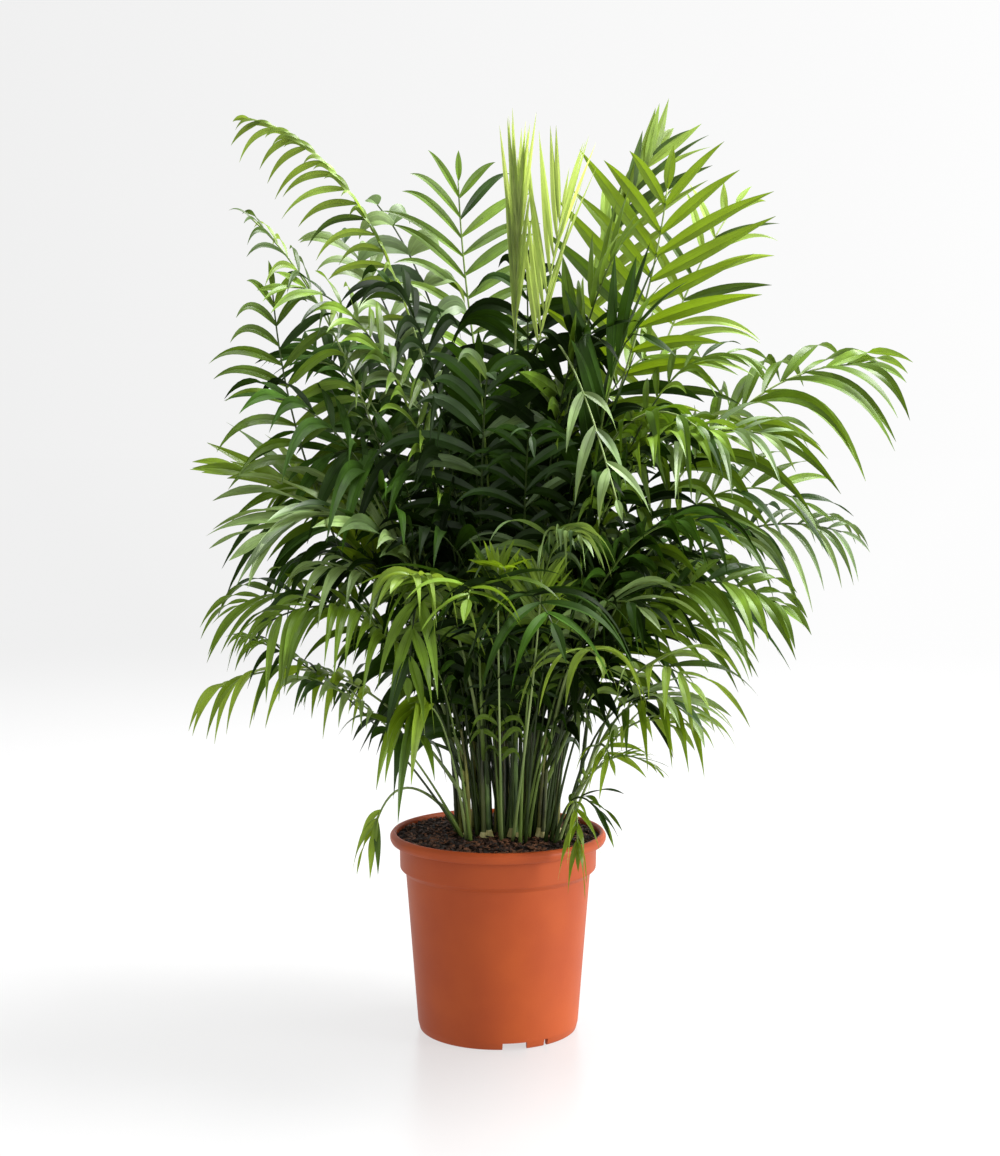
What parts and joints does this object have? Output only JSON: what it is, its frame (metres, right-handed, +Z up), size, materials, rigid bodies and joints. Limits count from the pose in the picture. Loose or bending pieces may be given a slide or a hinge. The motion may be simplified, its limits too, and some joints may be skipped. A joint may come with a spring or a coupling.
{
  "type": "potted parlor palm",
  "caption": "Clump of slender canes with arching feather fronds, growing in a tapered round plastic nursery pot with a rolled rim.",
  "frame": {"origin": "middle of the pot's flat underside, on the surface it stands on", "axes": "+Z up, -Y towards the side seen in the picture, +X to the right as seen from there"},
  "size_m": [0.8054, 0.6273, 1.0441],
  "materials": {
    "pot": "moulded terracotta-coloured plastic, satin, slightly scuffed",
    "soil": "loose potting mix of bark chips and peat",
    "stem": "ringed green cane with pale foot and papery sheaths",
    "leaf_dark": "deep green leaflets inside the crown",
    "leaf_mid": "mid green leaflets",
    "leaf_fresh": "light fresh green leaflets",
    "leaf_bright": "yellow-green leaflets lit from behind",
    "leaf_young": "yellow-green of a leaf just opening",
    "leaf_dusty": "grey-green undersides and front leaflets"
  },
  "bodies": {
    "root": {"pot": "pot", "soil": "soil", "stem_1": "stem", "stem_2": "stem", "stem_3": "stem", "stem_4": "stem", "stem_5": "stem", "stem_6": "stem", "stem_7": "stem", "stem_8": "stem", "stem_9": "stem", "stem_10": "stem", "stem_11": "stem", "stem_12": "stem", "frond_front_arched": "leaf_dusty", "frond_top_left_arch": "leaf_fresh", "frond_top_left_thin": "leaf_fresh", "frond_upper_left_back": "leaf_dusty", "frond_top_left_inner": "leaf_dusty", "frond_top_middle": "leaf_mid", "frond_young_spear": "leaf_young", "frond_top_right_back": "leaf_fresh", "frond_top_right_front": "leaf_bright", "frond_upper_right_out": "leaf_fresh", "frond_upper_right_edge": "leaf_mid", "frond_upper_right_inner": "leaf_mid", "frond_right_reach": "leaf_mid", "frond_right_upper": "leaf_dusty", "frond_right_middle": "leaf_dusty", "frond_right_lower": "leaf_mid", "frond_right_back_low": "leaf_dark", "frond_right_under": "leaf_mid", "frond_right_low": "leaf_bright", "frond_left_high": "leaf_mid", "frond_left_upper": "leaf_dark", "frond_left_middle_high": "leaf_dark", "frond_left_middle_dark": "leaf_mid", "frond_left_middle": "leaf_bright", "frond_left_broad": "leaf_dusty", "frond_left_back": "leaf_dark", "frond_left_lower": "leaf_mid", "frond_left_low": "leaf_mid", "frond_left_low_long": "leaf_bright", "frond_front_dark": "leaf_dark", "frond_front_left_light": "leaf_fresh", "frond_front_middle": "leaf_dusty", "frond_front_low_right": "leaf_dusty", "frond_seedling_left": "leaf_bright", "frond_hanging_right": "leaf_bright", "frond_inner_high_1a": "leaf_dark", "frond_inner_high_2a": "leaf_dark", "frond_back_high_1a": "leaf_mid", "frond_back_high_2a": "leaf_dark", "frond_back_low_1a": "leaf_mid", "frond_back_low_2a": "leaf_mid", "frond_back_low_3a": "leaf_dark", "frond_middle_1a": "leaf_dark", "frond_middle_2a": "leaf_dark", "frond_middle_3a": "leaf_dusty", "frond_low_1a": "leaf_mid"}
  },
  "joints": []
}
